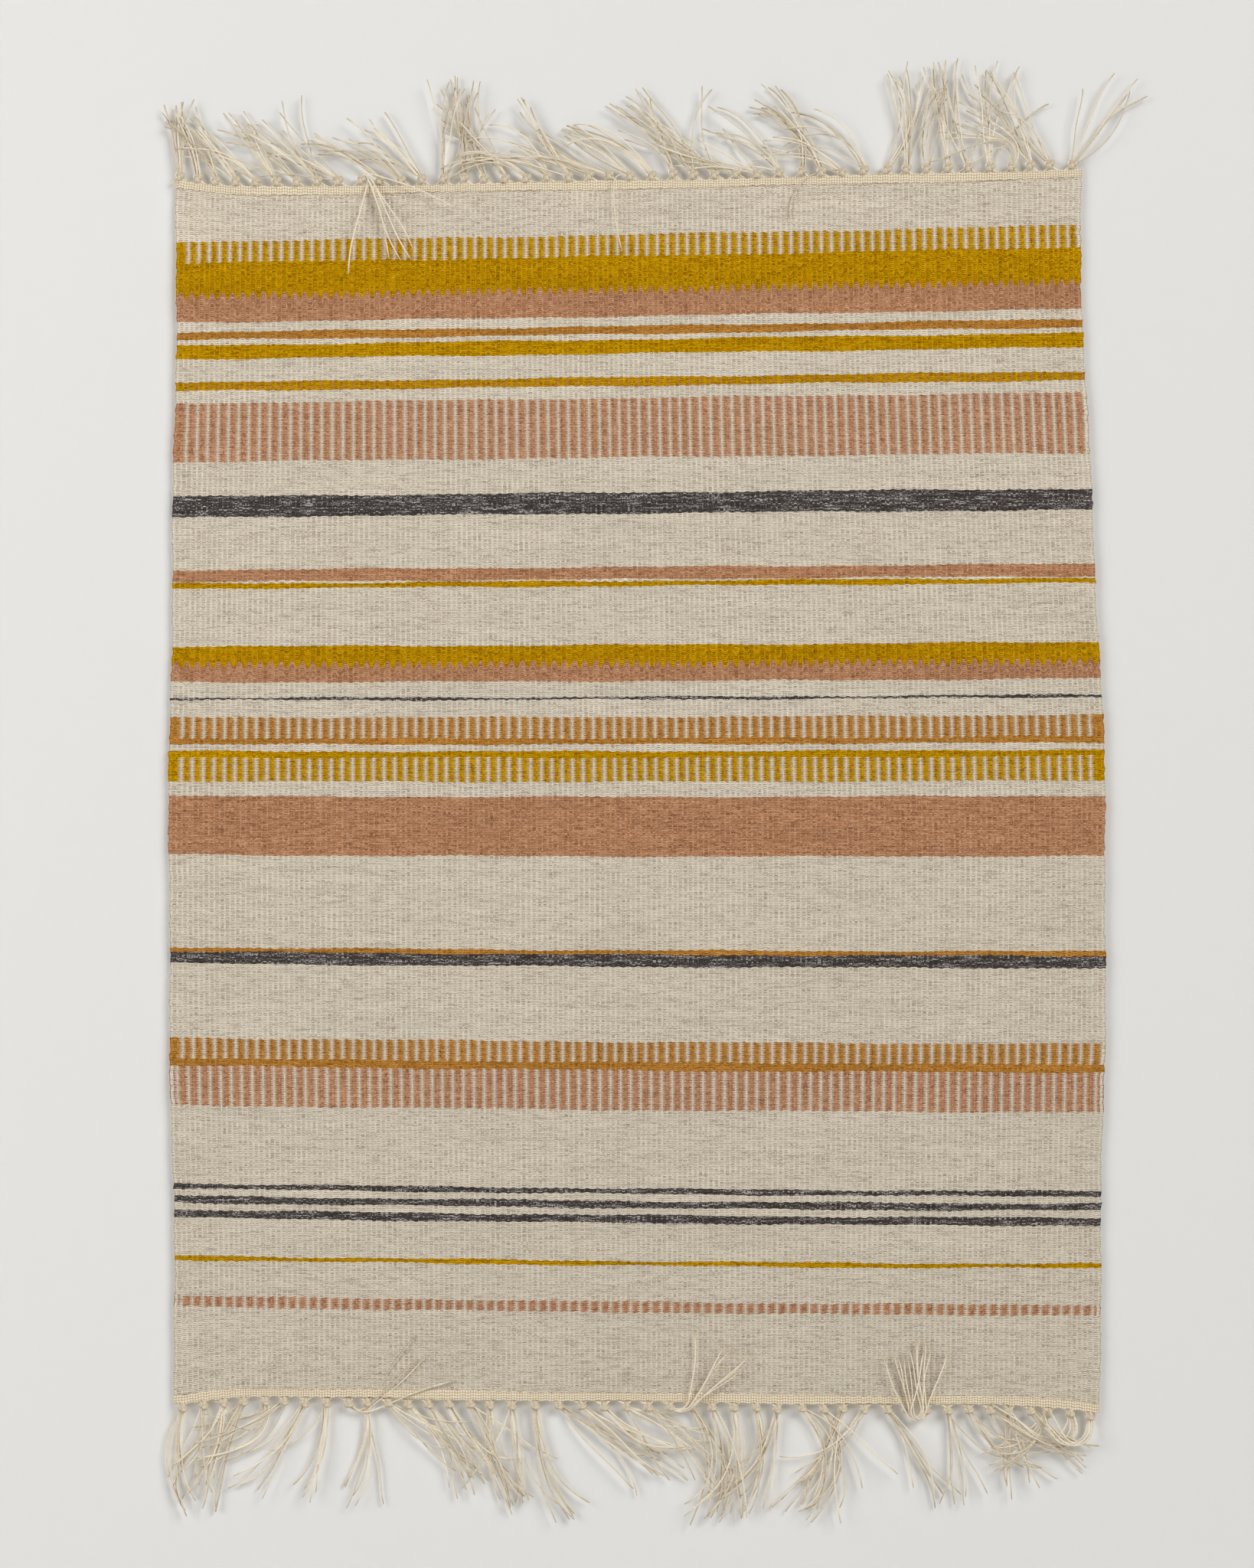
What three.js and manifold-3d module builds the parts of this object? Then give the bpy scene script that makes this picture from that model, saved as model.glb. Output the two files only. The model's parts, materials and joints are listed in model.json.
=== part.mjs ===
// A hand-woven, weft-faced tapestry wall hanging: linen warp, wool weft stripes, twined cotton
// headings and knotted warp-end tassels along both ends.
// Millimetres. +Z is up, +X runs along the picks, the front faces -Y and the back lies on y = 0.
// The origin is the middle of the back face of the upper heading, where the piece is pinned up.

import * as THREE from 'three';
import { mergeVertices } from 'three/addons/utils/BufferGeometryUtils.js';
import Module from 'manifold-3d';

// ---- driving dimensions ------------------------------------------------------------------

const clothWidth = 561; // at the widest place
const drawInTop = 20; // the cloth is this much narrower at the upper heading
const drawInFoot = 7.5; // and this much narrower at the lower heading
const widestDrop = 420; // how far below the upper heading it is widest
const lean = 5.3; // sideways drift of the upper heading against the widest place
const clothThickness = 3.2;
const beat = 0.525; // height of one pick
const headingHeight = 4.6;
const riseTop = 11.5; // how much higher the right selvedge lies than the left, at the top
const riseFoot = -5.5; // the same at the foot
const warpThickness = 1.2; // the warp ends, lying side by side as one layer
const warpInset = 2; // the outermost warp end lies this far inside the selvedge
const gap = 0.3; // between pieces that touch
const knotsPerEnd = 44;
const knotRadius = 2.7;
const knotReach = 7.5; // from the heading's edge to a knot's centre
const fringeLength = 64; // from the heading's edge to the tips
const fringeThickness = 9;
const stubThickness = 1.6; // the warp ends between the heading and a knot
const tasselSpacing = 1.2; // open gap between neighbouring groups of tassels

// ---- yarns -------------------------------------------------------------------------------

const yarn = {
  natural: { color: 0xc9c1ae, roughness: 0.95, metalness: 0 },
  mustard: { color: 0xb98a10, roughness: 0.92, metalness: 0 },
  rose: { color: 0xb27a5c, roughness: 0.92, metalness: 0 },
  ochre: { color: 0xba7a2e, roughness: 0.92, metalness: 0 },
  charcoal: { color: 0x4d4544, roughness: 0.95, metalness: 0 },
  cotton: { color: 0xddc7a4, roughness: 0.9, metalness: 0 },
  linen: { color: 0xd2c3a2, roughness: 0.85, metalness: 0 },
};

// ---- the weaver's stripe plan, from the upper heading down ----------------------------------
// Each run of weft: its name, its yarn and its number of picks. A run called bars alternates its
// yarn with natural on every second warp end.

const stripePlan = [
  {
    panel: 'upper',
    runs: [
      ['natural_01', 'natural', 52],
      ['mustard_bars_01', 'mustard', 24],
      ['mustard_01', 'mustard', 38],
      ['rose_01', 'rose', 30],
      ['natural_02', 'natural', 11],
      ['ochre_01', 'ochre', 9],
      ['natural_03', 'natural', 6],
      ['mustard_02', 'mustard', 16],
      ['natural_04', 'natural', 27],
      ['mustard_03', 'mustard', 10],
      ['natural_05', 'natural', 14],
      ['rose_bars_01', 'rose', 68],
      ['natural_06', 'natural', 40],
      ['charcoal_01', 'charcoal', 24],
      ['natural_07', 'natural', 62],
      ['rose_02', 'rose', 14],
      ['natural_08', 'natural', 2],
      ['mustard_04', 'mustard', 6],
    ],
  },
  {
    panel: 'middle',
    runs: [
      ['natural_09', 'natural', 68],
      ['mustard_05', 'mustard', 22],
      ['rose_03', 'rose', 20],
      ['natural_10', 'natural', 18],
      ['charcoal_02', 'charcoal', 3],
      ['natural_11', 'natural', 20],
      ['ochre_bars_01', 'ochre', 24],
      ['ochre_02', 'ochre', 7],
      ['natural_12', 'natural', 8],
      ['mustard_06', 'mustard', 7],
      ['mustard_bars_02', 'mustard', 28],
      ['natural_13', 'natural', 17],
      ['rose_04', 'rose', 68],
      ['natural_14', 'natural', 108],
      ['ochre_03', 'ochre', 5],
      ['charcoal_03', 'charcoal', 14],
    ],
  },
  {
    panel: 'lower',
    runs: [
      ['natural_15', 'natural', 86],
      ['ochre_bars_02', 'ochre', 23],
      ['ochre_04', 'ochre', 9],
      ['rose_bars_02', 'rose', 45],
      ['natural_16', 'natural', 89],
      ['charcoal_04', 'charcoal', 6],
      ['natural_17', 'natural', 8],
      ['charcoal_05', 'charcoal', 8],
      ['natural_18', 'natural', 8],
      ['charcoal_06', 'charcoal', 9],
      ['natural_19', 'natural', 43],
      ['mustard_07', 'mustard', 5],
      ['natural_20', 'natural', 41],
      ['rose_bars_03', 'rose', 12],
      ['natural_21', 'natural', 92],
    ],
  },
];

const countPicks = (runs) => runs.reduce((sum, [, , picks]) => sum + picks, 0);
const wovenHeight = beat * stripePlan.reduce((sum, { runs }) => sum + countPicks(runs), 0);
const clothHeight = wovenHeight + 2 * headingHeight;

// ---- the outline of the cloth --------------------------------------------------------------
// Places on the cloth are told by their drop, the distance below the upper heading's top edge.

const heightOf = (drop) => headingHeight / 2 - drop;

// 0 at the start, 1 at the end, level at both.
const ease = (share) => THREE.MathUtils.smoothstep(share, 0, 1);

const widthAt = (drop) => {
  const above = 1 - ease(drop / widestDrop);
  const below = ease((drop - widestDrop) / (clothHeight - widestDrop));
  return clothWidth - drawInTop * above - drawInFoot * below;
};

const middleAt = (drop) => lean * ease(drop / widestDrop);

const riseAt = (drop) => THREE.MathUtils.lerp(riseTop, riseFoot, drop / clothHeight);

// A point at share -1 (left selvedge) to 1 (right selvedge) of the pick line at a drop, moved in
// from the selvedge by inset.
const onPick = (share, drop, inset = 0) => {
  const half = widthAt(drop) / 2 - inset;
  return new THREE.Vector2(middleAt(drop) + share * half, heightOf(drop) + (share * riseAt(drop)) / 2);
};

// ---- solids ----------------------------------------------------------------------------------

const wasm = await Module();
wasm.setup();

const toManifold = (geometry) => {
  const bare = geometry.clone();
  bare.deleteAttribute('normal');
  bare.deleteAttribute('uv');
  const merged = mergeVertices(bare.index ? bare.toNonIndexed() : bare, 1e-4);
  return new wasm.Manifold(
    new wasm.Mesh({
      numProp: 3,
      vertProperties: new Float32Array(merged.attributes.position.array),
      triVerts: new Uint32Array(merged.index.array),
    }),
  );
};

const fromManifold = (solid) => {
  const mesh = solid.getMesh();
  const geometry = new THREE.BufferGeometry();
  geometry.setAttribute('position', new THREE.BufferAttribute(mesh.vertProperties, 3));
  geometry.setIndex(new THREE.BufferAttribute(mesh.triVerts, 1));
  geometry.computeVertexNormals();
  return geometry;
};

// An outline in X and Z, given thickness from y = back forwards to -Y.
const slab = (outline, back, thickness) => {
  const geometry = new THREE.ExtrudeGeometry(new THREE.Shape(outline), {
    depth: thickness,
    bevelEnabled: false,
  });
  geometry.rotateX(Math.PI / 2);
  geometry.translate(0, back, 0);
  return geometry;
};

// A four-sided outline between two pick lines, with both selvedges moved in by inset.
const strip = (upperDrop, lowerDrop, inset) => [
  onPick(-1, lowerDrop, inset),
  onPick(1, lowerDrop, inset),
  onPick(1, upperDrop, inset),
  onPick(-1, upperDrop, inset),
];

const warpSpaceThickness = warpThickness + 2 * gap;
const middleDepth = -clothThickness / 2;

// The channel that a run of weft leaves around the warp ends.
const warpSpace = (upperDrop, lowerDrop) =>
  toManifold(
    slab(
      strip(upperDrop - 1, lowerDrop + 1, warpInset - gap),
      middleDepth + warpSpaceThickness / 2,
      warpSpaceThickness,
    ),
  );

const weftRun = (upperDrop, lowerDrop) => {
  const outside = toManifold(slab(strip(upperDrop, lowerDrop, 0), 0, clothThickness));
  return fromManifold(outside.subtract(warpSpace(upperDrop, lowerDrop)));
};

// The warp ends of one panel; its sides turn wherever the selvedges do, at the run borders.
const warpLayer = (borders) => {
  const rightSide = borders.map((border) => onPick(1, border, warpInset));
  const leftSide = borders.map((border) => onPick(-1, border, warpInset));
  const outline = [...leftSide, ...rightSide.reverse()];
  return slab(outline, middleDepth + warpThickness / 2, warpThickness);
};

// A heading is packed solid: its twining cords fill the space between the warp ends.
const twinedHeading = (upperDrop, lowerDrop) =>
  slab(strip(upperDrop, lowerDrop, 0), 0, clothThickness);

// ---- tassels -----------------------------------------------------------------------------------

const shareOfKnot = (index) => ((index + 0.5) / knotsPerEnd) * 2 - 1;

// An end of the cloth: the drop of its edge and the way its tassels point.
const ends = {
  top: { drop: 0, way: 1 },
  foot: { drop: clothHeight, way: -1 },
};

const knotAt = (end, index) => {
  const place = onPick(shareOfKnot(index), end.drop);
  place.y += end.way * knotReach;
  return place;
};

// A knot: a bead with a six-sided girth, its axis along Z.
const knotSolid = (place) => {
  const profile = [
    new THREE.Vector2(0, -knotRadius),
    new THREE.Vector2(knotRadius * 0.85, -knotRadius * 0.5),
    new THREE.Vector2(knotRadius * 0.85, knotRadius * 0.5),
    new THREE.Vector2(0, knotRadius),
  ];
  const bead = new THREE.LatheGeometry(profile, 6);
  bead.rotateX(Math.PI / 2);
  bead.translate(place.x, middleDepth, place.y);
  return toManifold(bead);
};

// The warp ends drawn together from the heading's edge into a knot.
const stubSolid = (end, index) => {
  const knot = knotAt(end, index);
  const spread = (0.8 * widthAt(end.drop)) / knotsPerEnd;
  const foot = knot.y - end.way * (knotReach - gap);
  const edge = end.way * spread * (riseAt(end.drop) / widthAt(end.drop)) * 0.5;
  const outline = [
    new THREE.Vector2(knot.x - spread / 2, foot - end.way * edge),
    new THREE.Vector2(knot.x + spread / 2, foot + end.way * edge),
    new THREE.Vector2(knot.x + knotRadius / 3, knot.y),
    new THREE.Vector2(knot.x - knotRadius / 3, knot.y),
  ];
  const ordered = end.way > 0 ? outline : outline.reverse();
  return toManifold(slab(ordered, middleDepth + stubThickness / 2, stubThickness));
};

// The loose warp ends past the knots, as one soft body with a scalloped, splaying edge.
const strandsSolid = (end, first, last) => {
  const pitch = widthAt(end.drop) / knotsPerEnd;
  const reach = fringeLength - knotReach;
  const start = knotAt(end, first);
  const finish = knotAt(end, last);
  const left = start.x - pitch / 2 + tasselSpacing / 2;
  const right = finish.x + pitch / 2 - tasselSpacing / 2;
  const tips = [];
  for (let index = last; index >= first; index -= 1) {
    const knot = knotAt(end, index);
    const dip = reach * (index % 3 === 1 ? 1 : 0.92);
    tips.push(new THREE.Vector2(knot.x, knot.y + end.way * dip));
  }
  const outline = [
    new THREE.Vector2(left, start.y),
    new THREE.Vector2(right, finish.y),
    new THREE.Vector2(right, finish.y + end.way * reach * 0.85),
    ...tips,
    new THREE.Vector2(left, start.y + end.way * reach * 0.85),
  ];
  const ordered = end.way > 0 ? outline : outline.reverse();
  return toManifold(slab(ordered, middleDepth + fringeThickness / 2, fringeThickness));
};

// Keeps a tassel group in front of the wall that the back of the cloth lies on.
const tasselGroup = (end, first, last) => {
  let solid = strandsSolid(end, first, last);
  for (let index = first; index <= last; index += 1) {
    solid = solid.add(knotSolid(knotAt(end, index)));
    solid = solid.add(stubSolid(end, index));
  }
  const wallSide = new THREE.BoxGeometry(2 * clothWidth, fringeThickness, 4 * clothHeight);
  wallSide.translate(0, fringeThickness / 2, 0);
  return fromManifold(solid.subtract(toManifold(wallSide)));
};

// ---- assembly ----------------------------------------------------------------------------------

const hanging = new THREE.Group();

const place = (name, geometry, finish) => {
  const mesh = new THREE.Mesh(geometry, new THREE.MeshStandardMaterial(finish));
  mesh.name = name;
  hanging.add(mesh);
};

place('heading_top', twinedHeading(0, headingHeight), yarn.cotton);

let drop = headingHeight;
for (const { panel, runs } of stripePlan) {
  const borders = [drop + gap];
  for (const [name, kind, picks] of runs) {
    const next = drop + picks * beat;
    place(name, weftRun(drop + gap / 2, next - gap / 2), yarn[kind]);
    borders.push(next);
    drop = next;
  }
  borders[borders.length - 1] -= gap;
  place(`warp_${panel}`, warpLayer(borders), yarn.linen);
}

place('heading_foot', twinedHeading(drop, clothHeight), yarn.cotton);

const tasselGroups = [
  ['left', 0, 14],
  ['middle', 15, 28],
  ['right', 29, knotsPerEnd - 1],
];
for (const [endName, end] of Object.entries(ends)) {
  for (const [side, first, last] of tasselGroups) {
    place(`tassels_${endName}_${side}`, tasselGroup(end, first, last), yarn.linen);
  }
}

export default hanging;
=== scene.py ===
"""A hand-woven, weft-faced tapestry wall hanging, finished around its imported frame.

Every run of weft is a ribbed woven sleeve of its own, with both faces and both selvedges. The two
headings are twined cotton cord, the warp ends lie inside the weft, and each tassel is a bundle of
linen ends drawn into an overhand knot. Lengths are in metres unless a name says otherwise.
"""

import json
import logging
import math
from dataclasses import dataclass, field, replace
from enum import Enum
from typing import Any

import bpy
import numpy as np
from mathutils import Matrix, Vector

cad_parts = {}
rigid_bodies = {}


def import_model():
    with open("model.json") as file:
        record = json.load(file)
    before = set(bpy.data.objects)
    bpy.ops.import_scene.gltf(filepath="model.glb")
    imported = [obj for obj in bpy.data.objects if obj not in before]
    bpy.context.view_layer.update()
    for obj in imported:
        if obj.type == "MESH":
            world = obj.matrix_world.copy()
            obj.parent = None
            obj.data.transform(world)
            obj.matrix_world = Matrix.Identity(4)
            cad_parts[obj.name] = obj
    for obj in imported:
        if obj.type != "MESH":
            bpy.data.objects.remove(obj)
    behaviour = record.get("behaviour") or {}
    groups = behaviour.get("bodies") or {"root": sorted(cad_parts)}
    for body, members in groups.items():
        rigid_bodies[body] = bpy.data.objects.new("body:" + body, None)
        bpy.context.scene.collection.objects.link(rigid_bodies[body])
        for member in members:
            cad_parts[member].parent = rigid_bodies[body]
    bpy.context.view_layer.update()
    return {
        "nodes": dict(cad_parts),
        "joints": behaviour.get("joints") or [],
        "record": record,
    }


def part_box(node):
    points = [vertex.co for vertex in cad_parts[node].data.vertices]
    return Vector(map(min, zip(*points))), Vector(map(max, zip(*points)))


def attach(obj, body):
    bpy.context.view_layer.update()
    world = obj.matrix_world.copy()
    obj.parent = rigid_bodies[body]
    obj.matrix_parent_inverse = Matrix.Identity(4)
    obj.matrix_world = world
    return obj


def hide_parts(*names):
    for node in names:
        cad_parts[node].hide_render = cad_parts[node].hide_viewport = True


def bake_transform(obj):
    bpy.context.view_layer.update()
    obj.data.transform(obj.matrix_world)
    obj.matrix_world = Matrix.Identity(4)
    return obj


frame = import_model()

logging.basicConfig(level=logging.INFO, format="%(message)s")
log = logging.getLogger("hanging")

Array = np.ndarray
Generator = np.random.Generator
MM = 0.001
WARP_ENDS = 176
WARP_PITCH_MM = 3.175
PICK_MM = 0.525
KNOTS_PER_END = 44
UPPER_BEND = 25 * MM  # the height over which the cloth bends below its upper edge
WEAVE = "weave"
STRAND = "strand"


class Yarn(Enum):
    """The weft yarns, by the word that starts a run's name."""

    NATURAL = "natural"
    MUSTARD = "mustard"
    ROSE = "rose"
    OCHRE = "ochre"
    CHARCOAL = "charcoal"


class Edge(Enum):
    """How two runs of weft meet; the value is how far, in mm, they reach past each other."""

    SCALLOPED = 0.24
    TOOTHED = 1.9


class End(Enum):
    """The two ends of the cloth; the value is the way the tassels point along Z."""

    TOP = 1
    FOOT = -1


# ---- small tools ----


def linear(hex_colour: str) -> tuple[float, float, float, float]:
    """Turns an sRGB hex colour such as "c9c1ae" into linear RGBA."""
    channels = []
    for start in (0, 2, 4):
        value = int(hex_colour[start : start + 2], 16) / 255
        channels.append(value / 12.92 if value <= 0.04045 else ((value + 0.055) / 1.055) ** 2.4)
    return (*channels, 1.0)


def add_node(tree: Any, kind: str, inputs: dict | None = None, **settings: Any) -> Any:
    """Adds one shader node with its settings and links.

    Args:
        tree: the node tree.
        kind: the node's type after "ShaderNode", such as "Math".
        inputs: input name or number to a value, or to the socket or node that feeds it.
        **settings: the node's own properties.

    Returns:
        The new node.
    """
    node = tree.nodes.new(f"ShaderNode{kind}")
    for key, value in settings.items():
        setattr(node, key, value)
    for key, value in (inputs or {}).items():
        if isinstance(value, bpy.types.Node):
            value = next(socket for socket in value.outputs if socket.enabled)
        if isinstance(value, bpy.types.NodeSocket):
            tree.links.new(value, node.inputs[key])
        else:
            node.inputs[key].default_value = value
    return node


def arches(tree: Any, place: Any, turn: float) -> Any:
    """Adds the nodes of a row of arches, 0 to 1.

    Args:
        tree: the node tree.
        place: the socket or node that says where along the row it is.
        turn: how much of the wave, in radians, one unit of it takes.

    Returns:
        The last node, the height of the arch.
    """
    angle = add_node(tree, "Math", {0: place, 1: turn}, operation="MULTIPLY")
    wave = add_node(tree, "Math", {0: angle}, operation="SINE")
    return add_node(tree, "Math", {0: wave}, operation="ABSOLUTE")


def ripple(place: Array, waves: tuple[tuple[float, float, float], ...]) -> Array:
    """A smooth, fixed wobble: the sum of a few sine waves.

    Args:
        place: where to read it.
        waves: (height, wavelength, phase) of each wave.

    Returns:
        The wobble at each place.
    """
    total = np.zeros_like(place, dtype=float)
    for height, length, phase in waves:
        total += height * np.sin(2 * math.pi * place / length + phase)
    return total


def ease(share: Array) -> Array:
    """0 before 0, 1 after 1, and level at both."""
    t = np.clip(share, 0, 1)
    return t * t * (3 - 2 * t)


@dataclass
class Sculpt:
    """Vertices, faces and one vector attribute, gathered before they become a mesh."""

    attribute: str
    points: list[Array] = field(default_factory=list)
    marks: list[Array] = field(default_factory=list)
    faces: list[Array] = field(default_factory=list)
    count: int = 0

    def add(self, points: Array, marks: Array, faces: Array) -> None:
        """Adds a block of points with their marks, and its quads, numbered within the block."""
        self.points.append(points)
        self.marks.append(marks)
        self.faces.append(faces + self.count)
        self.count += len(points)

    def finish(self, name: str, material: Any) -> Any:
        """Makes the object.

        Args:
            name: the piece's name.
            material: its finish.

        Returns:
            The new object, smooth shaded, at the origin.
        """
        points = np.concatenate(self.points)
        quads = np.concatenate(self.faces)
        mesh = bpy.data.meshes.new(name)
        mesh.vertices.add(len(points))
        mesh.vertices.foreach_set("co", points.ravel())
        mesh.loops.add(quads.size)
        mesh.loops.foreach_set("vertex_index", quads.ravel())
        mesh.polygons.add(len(quads))
        mesh.polygons.foreach_set("loop_start", np.arange(0, quads.size, 4))
        mesh.update(calc_edges=True)
        mesh.validate()
        mesh.shade_smooth()
        mesh.set_sharp_from_angle(angle=math.radians(65))
        marks = mesh.attributes.new(self.attribute, "FLOAT_VECTOR", "POINT")
        marks.data.foreach_set("vector", np.concatenate(self.marks).ravel())
        mesh.materials.append(material)
        piece = bpy.data.objects.new(name, mesh)
        bpy.context.collection.objects.link(piece)
        return piece


def ring_quads(rings: int, sides: int) -> Array:
    """The quads between successive closed rings of points, facing outwards."""
    ring, side = np.meshgrid(np.arange(rings - 1), np.arange(sides), indexing="ij")
    after = (side + 1) % sides
    a = ring * sides + side
    b = ring * sides + after
    return np.stack([a, b, b + sides, a + sides], axis=-1).reshape(-1, 4)


# ---- finishes ----


class Finish:
    """A finish of some pieces, and the one material made for them."""

    name: str

    def surface(self, tree: Any) -> dict[str, Any]:
        """Adds the finish's own nodes; returns what its shader is fed."""
        raise NotImplementedError

    def make(self) -> Any:
        """Makes the material."""
        material = bpy.data.materials.new(self.name)
        material.use_nodes = True
        tree = material.node_tree
        tree.nodes.clear()
        shader = add_node(tree, "BsdfPrincipled", self.surface(tree))
        add_node(tree, "OutputMaterial", {0: self.cut_away(tree, shader)})
        return material

    def cut_away(self, tree: Any, shader: Any) -> Any:
        """The shader with what is left out of it; nothing is, for most."""
        return shader


@dataclass(frozen=True)
class Wool:
    """Two-ply wool weft, carded before spinning, so it is never one flat tone.

    Beaten down hard, it hides the warp: what shows is a column of short, plump picks over each
    warp end, matt and slightly fuzzy.
    """

    ground: str
    fleck: str
    pale: str
    fleck_share: float
    pale_share: float
    mottle: float
    fibre_length_mm: float = 6.5
    fibre_height_mm: float = 1.15  # drawn coarser than the real 0.5 mm, which would not show
    ball_length_mm: float = 75.0  # slow changes of tone, as one ball of yarn follows another
    ball_height_mm: float = 5.5

    def colour(self, tree: Any, place: Any, seed: float) -> Any:
        """Adds the nodes of the yarn's own colour.

        Args:
            tree: the node tree.
            place: the socket that holds warp number and pick number.
            seed: keeps two yarns in one material from having the same flecks.

        Returns:
            The last node, the colour.
        """
        fibre = (WARP_PITCH_MM / self.fibre_length_mm, PICK_MM / self.fibre_height_mm, 1.0)
        ball = (WARP_PITCH_MM / self.ball_length_mm, PICK_MM / self.ball_height_mm, 1.0)
        noises = []
        for scale, start, detail, roughness in (
            (fibre, (seed, seed, seed), 4.0, 0.72),
            (ball, (seed, 0.0, 3.0), 2.0, 0.5),
        ):
            spot = {0: place, 1: scale, 2: start}
            at = add_node(tree, "VectorMath", spot, operation="MULTIPLY_ADD")
            grain = {"Vector": at, "Scale": 1.0, "Detail": detail, "Roughness": roughness}
            noises.append(add_node(tree, "TexNoise", grain))
        fibres, balls = noises
        tone = {"Value": balls, 1: 0.3, 2: 0.7, 3: 1 - self.mottle, 4: 1 + self.mottle}
        shade = add_node(tree, "MapRange", tone)
        colour = linear(self.ground)
        for tint, start, full, most in (
            (self.fleck, 0.5, 0.63, self.fleck_share),
            (self.pale, 0.48, 0.37, self.pale_share),
        ):
            reach = {"Value": fibres, 1: start, 2: full, 3: 0.0, 4: most}
            share = add_node(tree, "MapRange", reach, interpolation_type="SMOOTHSTEP")
            colour = add_node(tree, "Mix", {0: share, 6: colour, 7: linear(tint)}, data_type="RGBA")
        return add_node(tree, "VectorMath", {0: colour, "Scale": shade}, operation="SCALE")


@dataclass(frozen=True)
class Weave(Finish):
    """The plain weft-faced weave, given to one yarn, or to a yarn and natural picked by turns."""

    name: str
    yarn: Wool
    between: Wool | None = None
    bar_share: float = 0.72
    bar_middle: float = 0.41
    left_turn: float = 0.7  # the warp ends at the left that the colour turns back round
    right_turn: float = 0.0
    plain_edge: float = 0.3  # the warp ends at a side that the natural turns back round
    notch: float = 0.14
    gap_tint: float = 0.1  # the colour behind shows between the natural picks
    # groove_shade and bead_shade: how dark the grooves and the dips between beads are drawn, as painted
    # shade.
    groove_shade: float = 0.9
    bead_shade: float = 0.74
    bead_relief: float = 0.7 * MM
    # How far the wool's colour is darkened at the foot, as painted shade.
    foot_shade: float = 0.92
    softness: float = 0.05  # half the width, in bars, over which a bar's side fades
    picks_down: float = 1300.0  # the picks from the top of the cloth to where the painted shade is deepest

    def bars(self, tree: Any, warp: Any, pick: Any) -> Any:
        """Adds the nodes that say where the coloured bars lie; returns the last, their share."""
        wave = add_node(tree, "Math", {0: pick, 1: math.pi}, operation="MULTIPLY")
        swing = add_node(tree, "Math", {0: wave}, operation="SINE")
        # Every second warp end, with edges notched by the picks.
        half = {0: warp, 1: 0.5, 2: 1.5 - self.bar_middle}
        halves = add_node(tree, "Math", half, operation="MULTIPLY_ADD")
        part = add_node(tree, "Math", {0: halves}, operation="FRACT")
        off = add_node(tree, "Math", {0: part, 1: 0.5}, operation="SUBTRACT")
        away = add_node(tree, "Math", {0: off}, operation="ABSOLUTE")
        notch = {0: swing, 1: self.notch, 2: away}
        notched = add_node(tree, "Math", notch, operation="MULTIPLY_ADD")
        inner, outer = self.bar_share / 2 - self.softness, self.bar_share / 2 + self.softness
        sides = {"Value": notched, 1: inner, 2: outer, 3: 1.0, 4: self.gap_tint}
        bar = add_node(tree, "MapRange", sides)
        # One of the two yarns turns back round the outermost warp ends.
        for limit, side, way in (
            (self.plain_edge, "GREATER_THAN", "MULTIPLY"),
            (WARP_ENDS - self.plain_edge, "LESS_THAN", "MULTIPLY"),
            (self.left_turn, "LESS_THAN", "MAXIMUM"),
            (WARP_ENDS - self.right_turn, "GREATER_THAN", "MAXIMUM"),
        ):
            found = add_node(tree, "Math", {0: warp, 1: limit}, operation=side)
            bar = add_node(tree, "Math", {0: bar, 1: found}, operation=way)
        return bar

    def surface(self, tree: Any) -> dict[str, Any]:
        """Adds the finish's own nodes; returns what its shader is fed."""
        place = add_node(tree, "Attribute", attribute_name=WEAVE).outputs["Vector"]
        warp, pick, _ = add_node(tree, "SeparateXYZ", {0: place}).outputs
        colour = self.yarn.colour(tree, place, 0.0)
        if self.between is not None:
            ground = self.between.colour(tree, place, 7.3)
            bars = {0: self.bars(tree, warp, pick), 6: ground, 7: colour}
            colour = add_node(tree, "Mix", bars, data_type="RGBA")
        # The picks sink between neighbouring warp ends, and the grooves there are painted darker, as
        # painted shade.
        rib = arches(tree, warp, math.pi)
        rib_shade = add_node(tree, "MapRange", {"Value": rib, 1: 0.0, 2: 0.75, 3: self.groove_shade})
        # Each visible pick is a bead; beads on neighbouring warp ends sit half a step apart, and the
        # dips between the beads are painted darker, as painted shade.
        whole = add_node(tree, "Math", {0: warp}, operation="FLOOR")
        bead = arches(tree, add_node(tree, "Math", {0: whole, 1: pick}), math.pi / 2)
        bead_shade = add_node(tree, "MapRange", {"Value": bead, 1: 0.0, 2: 0.6, 3: self.bead_shade})
        shade = add_node(tree, "Math", {0: rib_shade, 1: bead_shade}, operation="MULTIPLY")
        # Painted shade: the wool is drawn a little darker towards the foot, for the light falling off
        # down the cloth.
        fall = {"Value": pick, 1: 0.0, 2: self.picks_down, 3: 1.0, 4: self.foot_shade}
        for scale in (add_node(tree, "MapRange", fall), shade):
            colour = add_node(tree, "VectorMath", {0: colour, "Scale": scale}, operation="SCALE")
        relief = add_node(tree, "Math", {0: bead, 1: rib}, operation="MULTIPLY")
        bump = add_node(tree, "Bump", {"Strength": 1.0, "Distance": self.bead_relief, "Height": relief})
        return {"Base Color": colour, "Roughness": 0.94, "Specular IOR Level": 0.03, "Normal": bump}


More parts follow.
